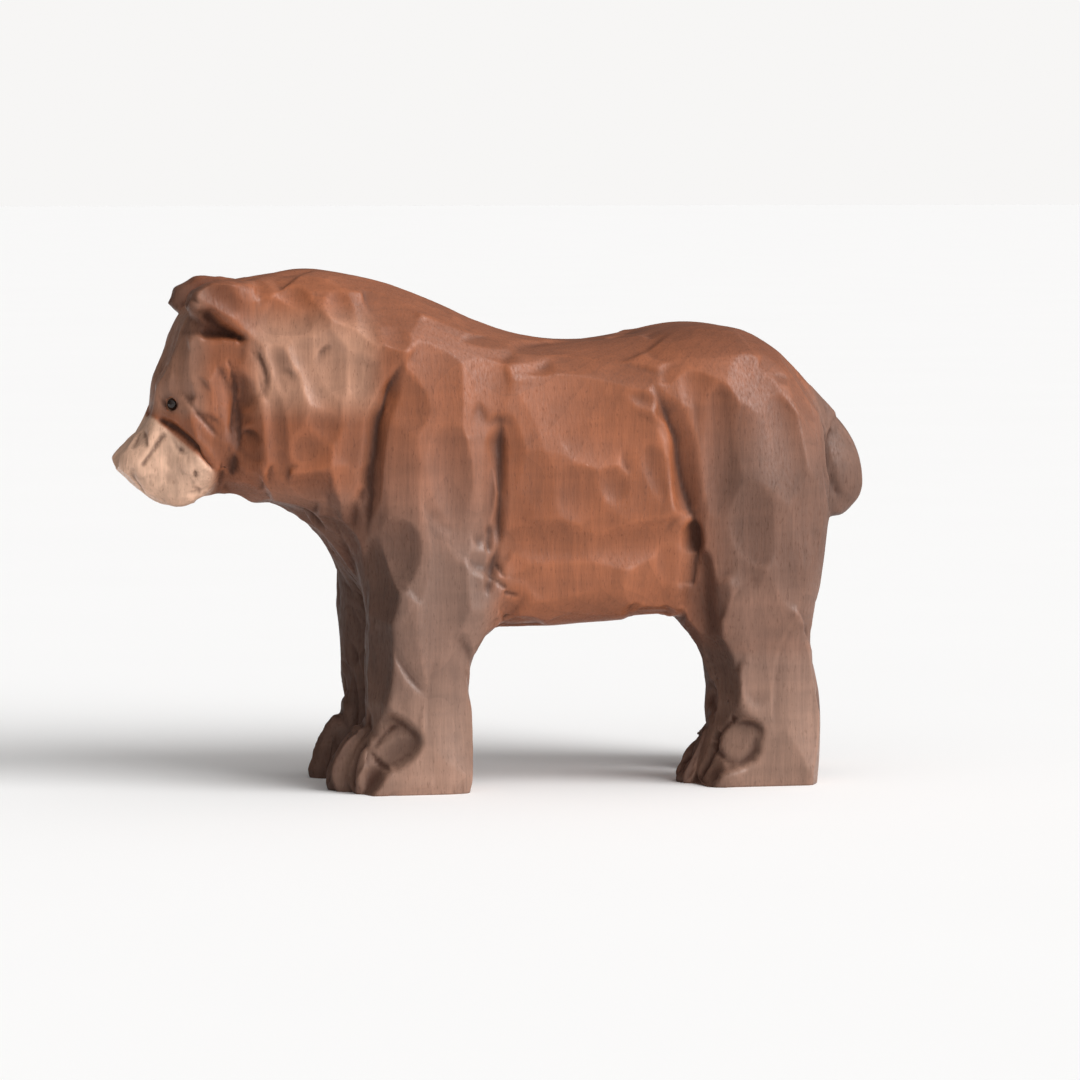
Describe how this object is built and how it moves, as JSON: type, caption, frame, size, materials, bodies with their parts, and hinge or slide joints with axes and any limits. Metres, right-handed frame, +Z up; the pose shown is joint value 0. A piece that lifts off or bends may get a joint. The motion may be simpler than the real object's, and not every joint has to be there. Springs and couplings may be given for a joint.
{
  "type": "carved bear figurine",
  "caption": "Hand-carved wooden bear standing on all fours, with faceted knife work, small bead eyes and flat paw soles to stand it on a shelf.",
  "frame": {"origin": "on the ground, under the centre of the figure's outer box", "axes": "+X from head to tail, +Y to the bear's right side, +Z up"},
  "size_m": [0.1192, 0.0416, 0.0809],
  "materials": {
    "stained_wood": "satin stain over knife-cut facets, darker in the cuts",
    "eye_bead": "gloss, near black",
    "eye_pin": "plain drawn wire"
  },
  "bodies": {
    "root": {"carved_body": "stained_wood", "left_eye_bead": "eye_bead", "right_eye_bead": "eye_bead", "left_eye_pin": "eye_pin", "right_eye_pin": "eye_pin"}
  },
  "joints": []
}
